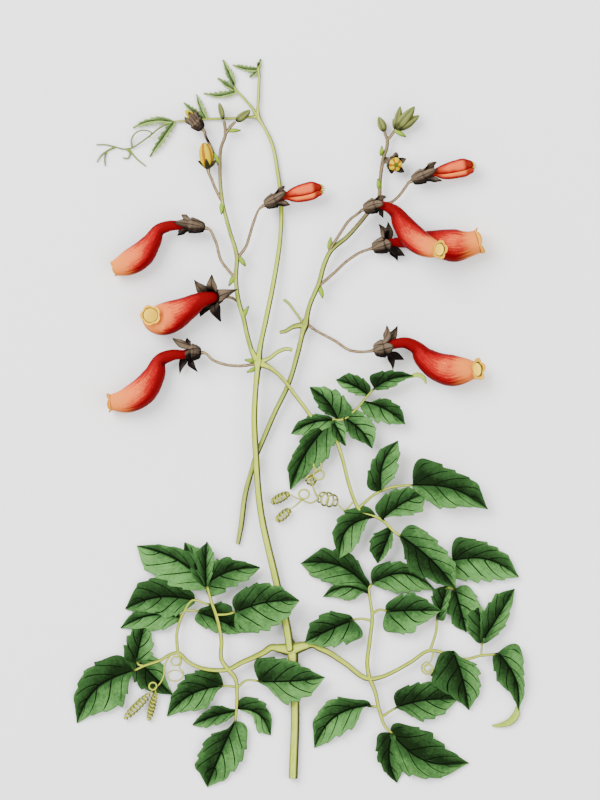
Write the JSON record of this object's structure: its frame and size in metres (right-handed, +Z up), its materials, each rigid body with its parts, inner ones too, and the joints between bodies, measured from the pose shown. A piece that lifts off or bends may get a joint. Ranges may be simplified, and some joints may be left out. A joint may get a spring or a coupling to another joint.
{
  "type": "cut flowering shoot of chilean glory flower",
  "caption": "Cut leafy shoot lying flat, with racemes of swollen red tube flowers in brown calyces, buds, toothed compound leaves and coiled tendrils.",
  "frame": {"origin": "on the surface the shoot lies on, under the middle of its box", "axes": "+Y from the cut end to the shoot's tip, +Z up from the surface, +X to the right seen from above"},
  "size_m": [0.1123, 0.1822, 0.0137],
  "materials": {
    "stem": "smooth plant stem",
    "raceme_stalk": "downy plant stalk",
    "sepals": "matt, papery",
    "petals": "satin petal",
    "yellow_bud": "satin petal",
    "green_bud": "matt, downy",
    "leaf": "matt leaf",
    "young_leaf": "matt young leaf"
  },
  "bodies": {
    "root": {"main_stem": "stem", "raceme_left_stalk": "raceme_stalk", "raceme_right_stalk": "raceme_stalk", "flower_left_upper_calyx": "sepals", "flower_left_upper_corolla": "petals", "flower_left_middle_calyx": "sepals", "flower_left_middle_corolla": "petals", "flower_left_lower_calyx": "sepals", "flower_left_lower_corolla": "petals", "flower_right_upper_calyx": "sepals", "flower_right_upper_corolla": "petals", "flower_right_middle_calyx": "sepals", "flower_right_middle_corolla": "petals", "flower_right_lower_calyx": "sepals", "flower_right_lower_corolla": "petals", "red_bud_left_calyx": "sepals", "red_bud_left_corolla": "petals", "red_bud_right_calyx": "sepals", "red_bud_right_corolla": "petals", "bud_left_yellow": "yellow_bud", "bud_left_tip": "green_bud", "bud_left_oval": "green_bud", "bud_right_oval": "green_bud", "bud_left_brown_petals": "yellow_bud", "bud_right_star_petals": "yellow_bud", "bud_left_brown_calyx": "sepals", "bud_right_star_calyx": "sepals", "bud_right_cluster": "green_bud", "leaf_left": "leaf", "leaf_right": "leaf", "leaf_upper": "leaf", "young_leaf_top": "young_leaf", "young_leaf_side": "young_leaf", "shoot_tip": "young_leaf"}
  },
  "joints": []
}
